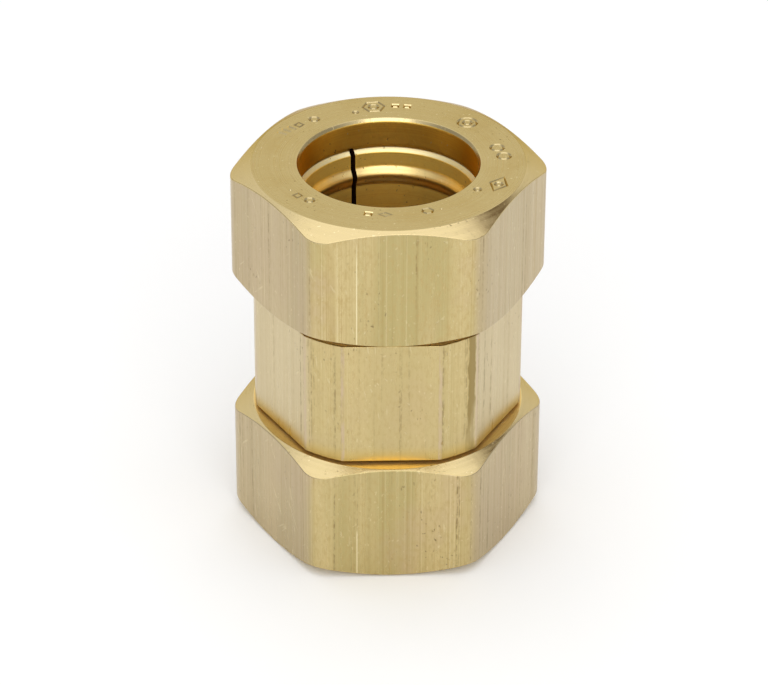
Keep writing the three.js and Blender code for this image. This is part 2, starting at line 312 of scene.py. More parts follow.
def smooth_piece(piece):
    """Smooth shading that keeps sharp edges sharp and wide faces flat."""
    mesh = piece.data
    mesh.polygons.foreach_set("use_smooth", [True] * len(mesh.polygons))
    mesh.set_sharp_from_angle(angle=SHARP_EDGE)
    weighted = piece.modifiers.new("even_normals", "WEIGHTED_NORMAL")
    weighted.mode = "FACE_AREA"
    weighted.weight = FACE_WEIGHT
    weighted.keep_sharp = True


def stands_for(piece, node, body):
    """Puts a finished piece in the place of its CAD node."""
    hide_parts(node)
    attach(piece, body)


# ---- Materials -----------------------------------------------------------------------------------


MICROMETRE = 0.000001


class Nodes:
    """A small helper that adds and links the nodes of one material."""

    def __init__(self, name):
        self.material = bpy.data.materials.new(name)
        self.material.use_nodes = True
        self.tree = self.material.node_tree
        self.shader = self.tree.nodes["Principled BSDF"]
        self.place = self.add("ShaderNodeTexCoord").outputs["Object"]
        parts = self.add("ShaderNodeSeparateXYZ")
        self.connect(self.place, parts.inputs[0])
        self.x, self.y, self.z = parts.outputs

    def add(self, kind, **settings):
        node = self.tree.nodes.new(kind)
        for key, value in settings.items():
            setattr(node, key, value)
        return node

    def connect(self, value, socket):
        if isinstance(value, bpy.types.NodeSocket):
            self.tree.links.new(value, socket)
        else:
            socket.default_value = value

    def math(self, operation, first, second=0.0):
        node = self.add("ShaderNodeMath", operation=operation)
        self.connect(first, node.inputs[0])
        self.connect(second, node.inputs[1])
        return node.outputs[0]

    def product(self, first, second):
        return self.math("MULTIPLY", first, second)

    def apart(self, first, second):
        """How far apart two values are."""
        return self.math("ABSOLUTE", self.math("SUBTRACT", first, second))

    def scaled(self, vector, scale):
        node = self.add("ShaderNodeMapping")
        self.connect(vector, node.inputs["Vector"])
        node.inputs["Scale"].default_value = scale
        return node.outputs[0]

    def turned(self, vector, degrees):
        node = self.add("ShaderNodeMapping")
        self.connect(vector, node.inputs["Vector"])
        node.inputs["Rotation"].default_value = [math.radians(angle) for angle in degrees]
        return node.outputs[0]

    def noise(self, scale, detail=2.0, roughness=0.5, place=None):
        """Noise with scale cells a metre along each axis of the object's place, or of another."""
        node = self.add("ShaderNodeTexNoise")
        place = self.place if place is None else place
        self.connect(self.scaled(place, scale), node.inputs["Vector"])
        node.inputs["Scale"].default_value = 1.0
        node.inputs["Detail"].default_value = detail
        node.inputs["Roughness"].default_value = roughness
        return node.outputs["Fac"]

    def between(self, value, low, high, out_low=0.0, out_high=1.0):
        """A value's smooth rise from out_low to out_high as it goes from low to high."""
        node = self.add("ShaderNodeMapRange", interpolation_type="SMOOTHSTEP")
        self.connect(value, node.inputs["Value"])
        node.inputs["From Min"].default_value = low
        node.inputs["From Max"].default_value = high
        node.inputs["To Min"].default_value = out_low
        node.inputs["To Max"].default_value = out_high
        return node.outputs["Result"]

    def blend(self, factor, first, second):
        node = self.add("ShaderNodeMix", data_type="RGBA")
        self.connect(factor, node.inputs["Factor"])
        self.connect(first, node.inputs["A"])
        self.connect(second, node.inputs["B"])
        return node.outputs["Result"]

    def layered(self, colour, layers):
        """A colour with (mask, strength, colour) layers over it."""
        for mask, strength, over in layers:
            colour = self.blend(self.product(mask, strength), colour, over)
        return colour

    def relief(self, layers):
        """A normal from (height, depth in micrometres) layers."""
        normal = None
        for height, depth in layers:
            node = self.add("ShaderNodeBump")
            self.connect(height, node.inputs["Height"])
            node.inputs["Distance"].default_value = depth * MICROMETRE
            if normal is not None:
                self.connect(normal, node.inputs["Normal"])
            normal = node.outputs["Normal"]
        return normal

    def round_place(self):
        """(distance from the axis, height, 0), for lines that run round the axis."""
        squares = self.math("ADD", self.product(self.x, self.x), self.product(self.y, self.y))
        joined = self.add("ShaderNodeCombineXYZ")
        self.connect(self.math("SQRT", squares), joined.inputs[0])
        self.connect(self.z, joined.inputs[1])
        return joined.outputs[0]


# Colours are linear. Each finish starts from one and layers others over it.
BRASS_BRIGHT = (0.620, 0.497, 0.242, 1)
BRASS_DEEP = (0.505, 0.374, 0.155, 1)
BRASS_ROSE = (0.568, 0.426, 0.258, 1)
BRASS_OLIVE = (0.474, 0.392, 0.170, 1)
BRASS_FACE = (0.580, 0.464, 0.230, 1)
BRASS_DULL = (0.490, 0.395, 0.262, 1)
BRASS_FAIR = (0.615, 0.520, 0.345, 1)
BRASS_CREAM = (0.630, 0.505, 0.268, 1)
BRASS_PALE = (0.90, 0.80, 0.50, 1)
BRASS_GOLD = (0.98, 0.69, 0.16, 1)
BRASS_AMBER = (0.78, 0.46, 0.08, 1)
BRASS_HONEY = (0.92, 0.70, 0.30, 1)
BRASS_RUSSET = (0.78, 0.54, 0.18, 1)
BRASS_MOUTH = (0.60, 0.41, 0.14, 1)
# Painted reflection of the lower nut's golden face, on the body's foot.
FOOT_REFLECTION_GOLD = (0.640, 0.455, 0.130, 1)
BRASS_BLUSH = (0.610, 0.470, 0.340, 1)
BRASS_STAIN = (0.20, 0.14, 0.06, 1)
BRASS_EDGE_STAIN = (0.30, 0.215, 0.075, 1)
# Painted shade for the bore's left and right walls.
BORE_SIDE_SHADE = (0.34, 0.17, 0.03, 1)
# Painted shade of the narrow slit in the gripper ring, put on its sawn walls.
SLIT_SHADE_BROWN = (0.10, 0.035, 0.012, 1)
WORN_AMBER = (0.40, 0.27, 0.09, 1)
RUBBER_BLACK = (0.012, 0.012, 0.013, 1)
RUBBER_BLOOM = (0.045, 0.044, 0.042, 1)

# Distances from the plane x = 0 over which a finish turns into its colour at the sides, in metres.
# In the bore, that colour is painted shade on its side walls.
FLAT_SIDES = (0.0100, 0.0112)
BORE_SHADE_SIDES = (0.0070, 0.0108)

# Fine scratches: (tilt in degrees, share of the noise's scale along them).
SCRATCH_SCALE = 2600
SCRATCHES = [(28, 0.03), (-41, 0.04), (8, 0.02)]

# Marks that the photograph shows in one place, as directions round the axis.
LONG_SCRATCH = math.radians(-103.9)  # a bright scratch down each nut's front flat
STAINED_EDGE = math.radians(-54.0)  # the dark band inside one of the body's turned corners

# The body is yellower at its foot, beside the lower nut: a painted reflection of the lower nut's
# golden face.
FOOT_REFLECTION_TOP = (SHOULDER["lower"] + 2.4) * MM
FOOT_REFLECTION_FADE = 2.2 * MM


def lathe_sheen(nodes, amount):
    """Stretches reflections across the fine lines that run round the axis."""
    nodes.shader.inputs["Anisotropic"].default_value = amount
    round_axis = nodes.add("ShaderNodeTangent", direction_type="RADIAL", axis="Z")
    nodes.connect(round_axis.outputs["Tangent"], nodes.shader.inputs["Tangent"])


def finish_shader(nodes, colour, roughness, normal, metallic=1.0):
    """Links a finish to its material's shader, and returns the material."""
    nodes.connect(colour, nodes.shader.inputs["Base Color"])
    nodes.connect(roughness, nodes.shader.inputs["Roughness"])
    nodes.connect(normal, nodes.shader.inputs["Normal"])
    nodes.shader.inputs["Metallic"].default_value = metallic
    return nodes.material


def pits_and_marks(nodes):
    """Three masks: small dark pits, bright nicks, and fine scratches in three directions."""
    cloud = nodes.noise((160, 160, 110), detail=3)
    specks = nodes.noise((2600, 2600, 1500), detail=1)
    pits = nodes.product(nodes.between(specks, 0.68, 0.76), nodes.between(cloud, 0.46, 0.62))
    nicks = nodes.product(nodes.between(specks, 0.30, 0.25), nodes.between(cloud, 0.56, 0.46))
    scratches = 0.0
    for tilt, along in SCRATCHES:
        turned = nodes.turned(nodes.place, (tilt, tilt * 0.6, tilt))
        scale = (SCRATCH_SCALE, SCRATCH_SCALE, SCRATCH_SCALE * along)
        lines = nodes.noise(scale, detail=0, place=turned)
        where = nodes.noise((420, 420, 420), detail=1, place=turned)
        mask = nodes.product(nodes.between(lines, 0.735, 0.77), nodes.between(where, 0.55, 0.66))
        scratches = nodes.math("MAXIMUM", mask, scratches)
    return pits, nicks, scratches


def around(nodes):
    """The direction round the axis, and the angle to the hexagon's nearest corner, in radians."""
    direction = nodes.math("ARCTAN2", nodes.y, nodes.x)
    wrapped = nodes.math("FLOORED_MODULO", nodes.math("ADD", direction, SIXTH / 2), SIXTH)
    return direction, nodes.apart(wrapped, SIXTH / 2)


def stripe(nodes, value, middle, half_width, softness):
    """1 where a value is close to its middle, falling softly to 0 on both sides."""
    return nodes.between(nodes.apart(value, middle), half_width + softness, half_width)


def at_sides(nodes, sides):
    """0 close to the plane x = 0, rising to 1 away from it on both sides."""
    near, far = sides
    return nodes.between(nodes.math("ABSOLUTE", nodes.x), near, far)


def drawn_brass(name, contrast, speckle, side_colour):
    """Flats of drawn hexagon bar: lines along the axis, faint bands, mottling, pits and scratches.

    Returns the helper, the colour, the roughness, the normal, and the direction and corner angle,
    so that the nuts and the body can add marks of their own.
    """
    nodes = Nodes(name)
    fine = nodes.noise((7000, 7000, 40))
    lines = nodes.noise((4300, 4300, 7), detail=1, roughness=0.6)
    streaks = nodes.noise((1500, 1500, 12), detail=3, roughness=0.65)
    clusters = nodes.noise((380, 380, 10))
    bands = nodes.noise((190, 190, 13))
    cloud = nodes.noise((100, 100, 60), detail=4, roughness=0.6)
    mottle = nodes.noise((2300, 2300, 900), detail=3, roughness=0.7)
    pits, nicks, scratches = pits_and_marks(nodes)
    direction, corner = around(nodes)

    # The lines come in clusters, and are fainter near the hexagon's corners.
    grouped = nodes.product(nodes.between(clusters, 0.42, 0.62, 0.3, 1.0), contrast)
    grouped = nodes.product(grouped, nodes.between(corner, 0.26, 0.14, 0.6, 1.0))
    dark_lines = nodes.product(nodes.between(lines, 0.56, 0.66), grouped)
    pale_lines = nodes.product(nodes.between(lines, 0.40, 0.30), grouped)
    smudges = nodes.product(nodes.between(streaks, 0.57, 0.70), nodes.between(mottle, 0.38, 0.62))

    colour = nodes.layered(BRASS_BRIGHT, [
        (nodes.between(bands, 0.36, 0.66), 0.85 * contrast, BRASS_OLIVE),
        (nodes.between(cloud, 0.46, 0.70), 0.6 * contrast, BRASS_ROSE),
        (nodes.between(mottle, 0.44, 0.72), speckle, BRASS_DEEP),
        (at_sides(nodes, FLAT_SIDES), 0.6, side_colour),
        (dark_lines, 0.5, WORN_AMBER),
        (pale_lines, 0.27, BRASS_PALE),
        (smudges, speckle, BRASS_STAIN),
        (pits, speckle, BRASS_STAIN),
        (nicks, 0.22, BRASS_PALE),
        (scratches, 0.22, BRASS_PALE),
    ])
    roughness = nodes.between(streaks, 0.3, 0.7, 0.24, 0.40)
    roughness = nodes.math("ADD", roughness, nodes.between(cloud, 0.4, 0.7, 0.0, 0.06))
    normal = nodes.relief([
        (fine, 4),
        (lines, 10 * contrast),
        (streaks, 20 * contrast),
        (mottle, 12 * speckle),
        (nodes.product(pits, -1.0), 30),
        (scratches, 20),
    ])
    return nodes, colour, roughness, normal, direction, corner


def nut_bar_brass():
    """The nuts' flats, with one long bright scratch."""
    finish = drawn_brass("nut_bar_brass", 1.0, 0.65, BRASS_DULL)
    nodes, colour, roughness, normal, direction, _ = finish
    scratch = stripe(nodes, direction, LONG_SCRATCH, 0.002, 0.003)
    broken = nodes.noise((900, 900, 90))
    scratch = nodes.product(scratch, nodes.between(broken, 0.36, 0.5))
    colour = nodes.layered(colour, [(scratch, 0.8, BRASS_PALE)])
    return finish_shader(nodes, colour, roughness, normal)


def body_bar_brass():
    """The body's flats, with worn corners, one dark band, specks of rust and a painted reflection
    of the lower nut's face at its foot.
    """
    finish = drawn_brass("body_bar_brass", 0.35, 0.5, BRASS_FAIR)
    nodes, colour, roughness, normal, direction, corner = finish
    ragged = nodes.noise((1200, 1200, 260), detail=3, roughness=0.7)
    worn = nodes.noise((260, 260, 90), detail=3)
    spread = nodes.math("ADD", direction, nodes.between(ragged, 0.3, 0.7, -0.012, 0.012))
    dark_band = stripe(nodes, spread, STAINED_EDGE, 0.028, 0.014)
    dark_band = nodes.product(dark_band, nodes.between(worn, 0.34, 0.52, 0.3, 0.85))
    rosy_edge = stripe(nodes, corner, BODY_CORNER_HALF_ANGLE, 0.008, 0.010)
    rosy_edge = nodes.product(rosy_edge, nodes.between(ragged, 0.38, 0.60, 0.1, 0.6))
    rust = stripe(nodes, corner, BODY_CORNER_HALF_ANGLE, 0.02, 0.05)
    rust = nodes.product(rust, nodes.between(ragged, 0.63, 0.70))
    colour = nodes.layered(colour, [
        # Painted reflection: the lower nut's golden face, seen in the body's foot.
        (nodes.between(nodes.z, FOOT_REFLECTION_TOP, FOOT_REFLECTION_TOP - FOOT_REFLECTION_FADE), 0.7, FOOT_REFLECTION_GOLD),
        (rosy_edge, 1.0, BRASS_BLUSH),
        (dark_band, 1.0, BRASS_EDGE_STAIN),
        (rust, 0.6, WORN_AMBER),
    ])
    return finish_shader(nodes, colour, roughness, normal)


def turned_brass(name, bright, deep, line_depth, roughness,
                 metallic=1.0, sheen=0.0, painted_side_shade=0.0):
    """Lathe-cut faces: fine lines round the axis, with a little mottling and a few pits.

    line_depth is in micrometres, and roughness is its (lowest, highest). The darkening towards both
    sides, away from the plane x = 0, is painted shade.
    """
    nodes = Nodes(name)
    rings = nodes.round_place()
    lines = nodes.noise((9000, 9000, 1), roughness=0.6, place=rings)
    broad = nodes.noise((1500, 1500, 1), place=rings)
    cloud = nodes.noise((130, 130, 130), detail=4, roughness=0.6)
    mottle = nodes.noise((1900, 1900, 1900), detail=3, roughness=0.7)
    pits, nicks, scratches = pits_and_marks(nodes)
    colour = nodes.layered(bright, [
        (nodes.between(lines, 0.4, 0.75), 0.45, deep),
        (nodes.between(cloud, 0.45, 0.75), 0.45, deep),
        (nodes.between(mottle, 0.45, 0.8), 0.35, deep),
        (pits, 0.7, BRASS_STAIN),
        (nicks, 0.5, BRASS_PALE),
    ])
    # Painted shade: the walls darken towards both sides, away from the plane x = 0.
    if painted_side_shade:
        colour = nodes.layered(colour, [(at_sides(nodes, BORE_SHADE_SIDES), painted_side_shade, BORE_SIDE_SHADE)])
    normal = nodes.relief([
        (lines, line_depth),
        (cloud, 40),
        (nodes.product(pits, -1.0), 30),
        (scratches, 15),
    ])
    rough = nodes.between(broad, 0.3, 0.7, *roughness)
    nodes.shader.inputs["Specular Tint"].default_value = bright
    lathe_sheen(nodes, sheen)
    return finish_shader(nodes, colour, rough, normal, metallic)


def moulded_rubber(name):
    """Matt black rubber with a fine moulded grain and a dusty bloom."""
    nodes = Nodes(name)
    grain = nodes.noise((5200, 5200, 5200), detail=3, roughness=0.65)
    bloom = nodes.noise((260, 260, 260), detail=4)
    colour = nodes.blend(nodes.between(bloom, 0.4, 0.75), RUBBER_BLACK, RUBBER_BLOOM)
    roughness = nodes.between(grain, 0.3, 0.7, 0.62, 0.85)
    return finish_shader(nodes, colour, roughness, nodes.relief([(grain, 40)]), metallic=0.0)


# ---- Nuts ----------------------------------------------------------------------------------------

NUT_EDGE = 0.09  # setback of the soft edges between flats and chamfers
RING_DEPTH = 4.37  # from the nut's outer face to the gripper ring
SEAT_PLAY = 0.4  # round the ring's cone
MOUTH_BEVEL = 1.0
RUN_OUT_SLOPE = 2  # of the nut's thread where it ends


def nut_outline(side, direction):
    """The nut's closed outline at one direction, in its end's heights, as (wall, thread) rows."""
    mouth, face = end_heights(side, f"{side}_nut")
    flat = hexagon_radius(direction - NUT_TURN[side], NUT_APOTHEM, NUT_FILLET)
    mouth_edge = mouth + (flat - NUT_MOUTH_RADIUS) * NUT_MOUTH_SLOPE
    face_edge = face - (flat - NUT_FACE_RADIUS) * NUT_FACE_SLOPE
    cone_start = face - RING_DEPTH - RING_CONE_LENGTH
    taper = (RING_CONE_LARGE - RING_CONE_SMALL) / RING_CONE_LENGTH
    lip = face - LIP_THICKNESS
    seat = mouth + NUT_SEAT_START
    thread_end = mouth + NUT_THREAD_LENGTH
    mouth_bore = NUT_THREAD_CREST + MOUTH_BEVEL

    def seat_radius(height):
        return RING_CONE_LARGE + SEAT_PLAY - (height - cone_start) * taper

    def thread_radius(height, at):
        groove = NUT_THREAD_ROOT - ridge_depth(height - PITCH * at / TURN, NUT_CREST_GAP)
        bevel = mouth_bore - (height - mouth)
        run_out = NUT_THREAD_ROOT - (thread_end - height) * RUN_OUT_SLOPE
        return min(max(groove, NUT_THREAD_CREST, bevel, run_out), NUT_THREAD_ROOT)

    wall = rounded([
        (mouth_bore, mouth, 0, MOUTH),
        (NUT_MOUTH_RADIUS, mouth, 0.06, CHAMFERED),
        (flat, mouth_edge, NUT_EDGE, DRAWN),
        (flat, face_edge, NUT_EDGE, CHAMFERED),
        (NUT_FACE_RADIUS, face, 0.10, TURNED),
        (LIP_BORE + LIP_BEVEL, face, 0.06, CHAMFERED),
        (LIP_BORE, face - LIP_BEVEL_SLOPE * LIP_BEVEL, 0.10, BORE),
        (LIP_BORE, lip, 0.08, BORE),
        (seat_radius(lip), lip, 0, BORE),
        (seat_radius(seat), seat, 0.10, BORE),
        (NUT_THREAD_ROOT, seat, 0, BORE),
    ])
    thread = thread_rows(mouth, thread_end, 0.0, direction, thread_radius, BORE)
    return wall, thread[::-1]


def make_nut(side, materials):
    """A nut, with its thread and the marks on its outer end face."""
    directions = hexagon_directions(fillet_half_angle(NUT_APOTHEM, NUT_FILLET), NUT_TURN[side])
    wall, thread = nut_outline(side, directions[0])
    threads = [(len(wall), len(wall) + len(thread) - 1, -len(THREAD_PLACES))]

    def outline(direction):
        wall_rows, thread_part = nut_outline(side, direction)
        return wall_rows + thread_part

    nut = mesh_piece(f"{side}_nut_shell", swept_mesh(directions, outline, threads), side, materials)
    cut_marks(nut, side, end_heights(side, f"{side}_nut")[1])
    smooth_piece(nut)
    stands_for(nut, f"{side}_nut", f"{side}_nut")


# ---- Marks on the nuts' end faces ----------------------------------------------------------------

MARK_DEPTH = 0.2
MARK_WIDTH = 0.46
MARK_ABOVE = 0.05  # how far a cutter stands out of the face
MARK_SIDES = {"ring": 24, "hexagon": 6, "diamond": 4, "square": 4}
DIAMOND_SQUEEZE = 0.6
DOT_SIDES = 12
DOT_DEPTH = MARK_DEPTH * 1.3

# Plain marks round the end face: (direction in degrees, distance from the axis, kind, size).
MARKS = [
    (150.0, 15.8, "bar", 1.4),
    (146.5, 15.7, "bar", 1.4),
    (143.0, 15.5, "bar", 1.4),
    (138.5, 15.3, "square", 0.6),
    (129.0, 15.0, "ring", 0.6),
    (106.5, 14.0, "ring", 0.3),
    (96.0, 15.0, "hexagon", 1.45),
    (96.0, 15.0, "ring", 0.6),
    (85.0, 15.2, "square", 0.55),
    (79.0, 15.2, "square", 0.55),
    (44.0, 14.8, "ring", 1.25),
    (44.0, 14.8, "ring", 0.55),
    (13.5, 14.6, "ring", 0.85),
    (4.4, 15.0, "ring", 0.85),
    (-24.0, 15.2, "diamond", 1.9),
    (-24.0, 15.2, "ring", 0.45),
    (-34.0, 13.4, "ring", 0.4),
    (-63.0, 13.9, "dot", 0.5),
    (-70.5, 13.6, "hexagon", 0.7),
    (-93.5, 13.7, "diamond", 0.8),
    (-102.5, 13.7, "square", 0.6),
    (-136.5, 14.2, "ring", 0.55),
    (-144.0, 14.6, "square", 0.6),
    (-150.5, 14.6, "dot", 0.5),
]


def mark_path(kind, size):
    """A mark's stroke about its middle, as (along, outwards) points, and whether it closes."""
    if kind == "bar":
        return [(0.0, -size / 2), (0.0, size / 2)], False
    sides = MARK_SIDES[kind]
    start = TURN / 8 if kind == "square" else 0.0
    squeeze = DIAMOND_SQUEEZE if kind == "diamond" else 1.0
    points = []
    for side in range(sides):
        angle = start + TURN * side / sides
        points.append((size * math.cos(angle), size * squeeze * math.sin(angle)))
    return points, True


def groove_cutter(made, path, closed, place, face, width):
    """A cutter with a V section along a path. place() maps a path point to the end face."""
    points = [Vector(point) for point in path]
    count = len(points)
    sections = []
    for index, point in enumerate(points):
        before = points[index - 1] if closed or index else point
        after = points[(index + 1) % count] if closed or index + 1 < count else point
        along = (after - before).normalized()
        side = Vector((-along.y, along.x))
        corners = [
            (point + side * width / 2, face + MARK_ABOVE),
            (point - side * width / 2, face + MARK_ABOVE),
            (point, face - MARK_DEPTH),
        ]
        sections.append([made.verts.new((*place(at), height)) for at, height in corners])
    pairs = list(zip(sections, sections[1:]))
    if closed:
        pairs.append((sections[-1], sections[0]))
    else:
        made.faces.new(sections[0])
        made.faces.new(list(reversed(sections[-1])))
    for here, following in pairs:
        for corner in range(3):
            beside = (corner + 1) % 3
            made.faces.new([here[corner], following[corner], following[beside], here[beside]])


def dot_cutter(made, place, face, radius):
    """A cone-shaped cutter for a punched dot."""
    rim = []
    for side in range(DOT_SIDES):
        angle = TURN * side / DOT_SIDES
        at = Vector((radius * math.cos(angle), radius * math.sin(angle)))
        rim.append(made.verts.new((*place(at), face + MARK_ABOVE)))
    tip = made.verts.new((*place(Vector((0.0, 0.0))), face - DOT_DEPTH))
    made.faces.new(rim)
    for side in range(DOT_SIDES):
        made.faces.new([rim[(side + 1) % DOT_SIDES], rim[side], tip])


def cut_marks(nut, side, face):
    """Cuts the plain marks into a nut's outer end face."""
    made = bmesh.new()
    for degrees, distance, kind, size in MARKS:
        direction = math.radians(degrees)
        outward = Vector((math.cos(direction), math.sin(direction)))
        along = Vector((-outward.y, outward.x))

        def place(at, outward=outward, along=along, distance=distance):
            return outward * (distance + at.y) + along * at.x

        if kind == "dot":
            dot_cutter(made, place, face, size / 2)
        else:
            path, closed = mark_path(kind, size)
            groove_cutter(made, path, closed, place, face, MARK_WIDTH)
    for wall in made.faces:
        wall.material_index = CHAMFERED
    cutter = mesh_piece(f"{side}_mark_cutter", made, side, [])
    cut = nut.modifiers.new("marks", "BOOLEAN")
    cut.operation = "DIFFERENCE"
    cut.solver = "EXACT"
    cut.material_mode = "INDEX"
    cut.object = cutter
    graph = bpy.context.evaluated_depsgraph_get()
    finished = bpy.data.meshes.new_from_object(nut.evaluated_get(graph))
    nut.modifiers.remove(cut)
    nut.data = finished
    bpy.data.objects.remove(cutter)


# ---- Body ----------------------------------------------------------------------------------------

BODY_EDGE = 0.12
STOP_BEVEL = 0.5
SEAT_DEPTH = 1.6
SEAT_FALL = 1.3
STUB_BEVEL = 0.5
STUB_CHAMFER = 0.7
STUB_CHAMFER_SLOPE = 2
RELIEF_LENGTH = 1.3


def stub_radius(outward, from_crest):
    """The stub's radius at a height from the shoulder, for its thread, relief and end chamfer."""
    ridge = THREAD_CREST - ridge_depth(from_crest, CREST_HALF_WIDTH)
    run_in = THREAD_ROOT + max(0.0, outward - RELIEF_LENGTH)
    wall = min(max(ridge, THREAD_ROOT), run_in)
    past_chamfer = max(0.0, outward - (STUB_LENGTH - STUB_CHAMFER))
    return min(wall, THREAD_CREST - STUB_CHAMFER_SLOPE * past_chamfer)


def half_bore(sign):
    """The body's bore from one stub's end to the tube stop, as corners about the body's middle."""
    half = BODY_LENGTH / 2
    corners = [
        (COUNTERBORE + STUB_BEVEL, half + STUB_LENGTH, 0, TURNED),
        (COUNTERBORE, half + STUB_LENGTH - STUB_BEVEL, 0.1, BORE),
        (COUNTERBORE, half - SEAT_DEPTH, 0.2, BORE),
        (SOCKET, half - SEAT_DEPTH - SEAT_FALL, 0.2, BORE),
        (SOCKET, STOP_LENGTH / 2, 0.1, BORE),
        (STOP + STOP_BEVEL, STOP_LENGTH / 2, 0.1, BORE),
        (STOP, STOP_LENGTH / 2 - STOP_BEVEL, 0.1, BORE),
    ]
    return [
        (radius, BODY_MIDDLE + sign * height, setback, finish)
        for radius, height, setback, finish in corners
    ]


def body_outline(direction):
    """The body's outline at one direction, in the row frame's heights, as four blocks of rows."""
    flat = min(hexagon_radius(direction, BODY_APOTHEM, 0.0), BODY_CORNER_RADIUS)
    low, high = SHOULDER["lower"], SHOULDER["upper"]

    def lower_radius(height, at):
        return stub_radius(low - height, height - low - PITCH * at / TURN)

    def upper_radius(height, at):
        return stub_radius(height - high, height - high - PITCH * at / TURN)

    lower_thread = thread_rows(low - STUB_LENGTH, low, low, direction, lower_radius, TURNED)
    middle = rounded([
        (THREAD_ROOT, low, 0, FACED),
        (flat, low, BODY_EDGE, DRAWN),
        (flat, high, BODY_EDGE, DRAWN),
        (flat - 2 * BODY_EDGE, high, 0, FACED),
        (THREAD_ROOT, high, 0, BORE),
    ])
    upper_thread = thread_rows(high, high + STUB_LENGTH, high, direction, upper_radius, TURNED)
    bore = rounded(half_bore(1) + half_bore(-1)[::-1])
    return lower_thread, middle, upper_thread, bore


def make_body(materials):
    """The body, with a thread on each stub and its bore."""
    lower, middle, upper, _ = body_outline(0.0)
    step = len(THREAD_PLACES)
    upper_start = len(lower) + len(middle)
    threads = [(0, len(lower) - 1, step), (upper_start, upper_start + len(upper) - 1, step)]

    def outline(direction):
        return [row for block in body_outline(direction) for row in block]

    directions = hexagon_directions(BODY_CORNER_HALF_ANGLE, 0.0)
    made = swept_mesh(directions, outline, threads)
    body = mesh_piece("body_shell", made, None, materials)
    smooth_piece(body)
    stands_for(body, "body", "body")


# ---- Gripper rings, washers and gaskets ----------------------------------------------------------

ROUND_COLUMNS = 180
RIB_STEPS = 18
SKIRT_LINE_PITCH = 0.3
SKIRT_LINE_DEPTH = 0.035

WASHER_INNER = 11.5
WASHER_OUTER = 12.7
SEAM_GAP = 0.01  # between the ends of the washer's outline, on one flat face

GASKET_INNER = 11.3
GASKET_OUTER = 12.7
GASKET_FOOT = 11.7  # where the bevel that sits in the body starts
GASKET_LIP = 0.35
GASKET_TOE = 0.1
FLASH_DEPTH = 0.02  # the mould's parting line round the outside
FLASH_HALF_HEIGHT = 0.06


def rib_rows(top):
    """The rounded rib inside the gripper ring, from its land down to its skirt."""
    rows = []
    for step in range(1, RIB_STEPS):
        share = step / RIB_STEPS
        edge = RING_LAND + (RING_SKIRT_INNER - RING_LAND) * share
        bulge = (1 - math.cos(TURN * share)) / 2
        rows.append((edge + (RING_RIB - edge) * bulge, top - share * RING_RIB_LENGTH, RIB))
    return rows


def skirt_rows(top, bottom):
    """The fine turned lines on the skirt's inner wall, from the rib to the skirt's inner end."""
    count = int((top - bottom) / SKIRT_LINE_PITCH)
    rows = []
    for line in range(count):
        height = top - line * (top - bottom) / count
        rows.append((RING_SKIRT_INNER, height, WALL))
        rows.append((RING_SKIRT_INNER + SKIRT_LINE_DEPTH, height - SKIRT_LINE_PITCH / 2, WALL))
    return rows


def make_gripper_ring(side, materials):
    """A split gripper ring: the entry bevel, the land, the rib and the skirt, inside a cone."""
    low, high = end_heights(side, f"{side}_gripper_ring")
    cone_start = high - RING_CONE_LENGTH
    bevel_end = high - RING_ENTRY_BEVEL
    land_end = bevel_end - RING_LAND_LENGTH
    skirt_top = land_end - RING_RIB_LENGTH
    outside = rounded([
        (RING_SKIRT_INNER, low, 0, RIB),
        (RING_SKIRT_OUTER, low, 0.15, RIB),
        (RING_SKIRT_OUTER, cone_start, 0, RIB),
        (RING_CONE_LARGE, cone_start, 0.15, RIB),
        (RING_CONE_SMALL, high, 0.12, WALL),
        (RING_LAND + RING_ENTRY_BEVEL, high, 0.05, ENTRY),
        (RING_LAND, bevel_end, 0.08, WALL),
        (RING_LAND, land_end, 0, WALL),
    ])
    outline = outside + rib_rows(land_end) + skirt_rows(skirt_top, low)
    made = split_mesh(RING_SLIT_TURN, RING_SLIT_WIDTH, ROUND_COLUMNS, outline)
    ring = mesh_piece(f"{side}_split_ring", made, side, materials)
    smooth_piece(ring)
    stands_for(ring, f"{side}_gripper_ring", f"{side}_gripper")


def round_piece(name, side, corners, material):
    """A turned or moulded ring from its closed outline's corners."""
    outline = rounded(corners)
    directions = [TURN * step / ROUND_COLUMNS for step in range(ROUND_COLUMNS)]
    piece = mesh_piece(name, swept_mesh(directions, lambda _: outline), side, [material])
    smooth_piece(piece)
    return piece


def make_washer(side, material):
    """A flat thrust washer, with rounder edges on the side that it was pressed from."""
    low, high = end_heights(side, f"{side}_thrust_washer")
    middle = (WASHER_INNER + WASHER_OUTER) / 2
    washer = round_piece(f"{side}_pressed_washer", side, [
        (middle, low, 0, PLAIN),
        (WASHER_OUTER, low, 0.2, PLAIN),
        (WASHER_OUTER, high, 0.12, PLAIN),
        (WASHER_INNER, high, 0.12, PLAIN),
        (WASHER_INNER, low, 0.2, PLAIN),
        (middle - SEAM_GAP, low, 0, PLAIN),
    ], material)
    stands_for(washer, f"{side}_thrust_washer", f"{side}_gripper")


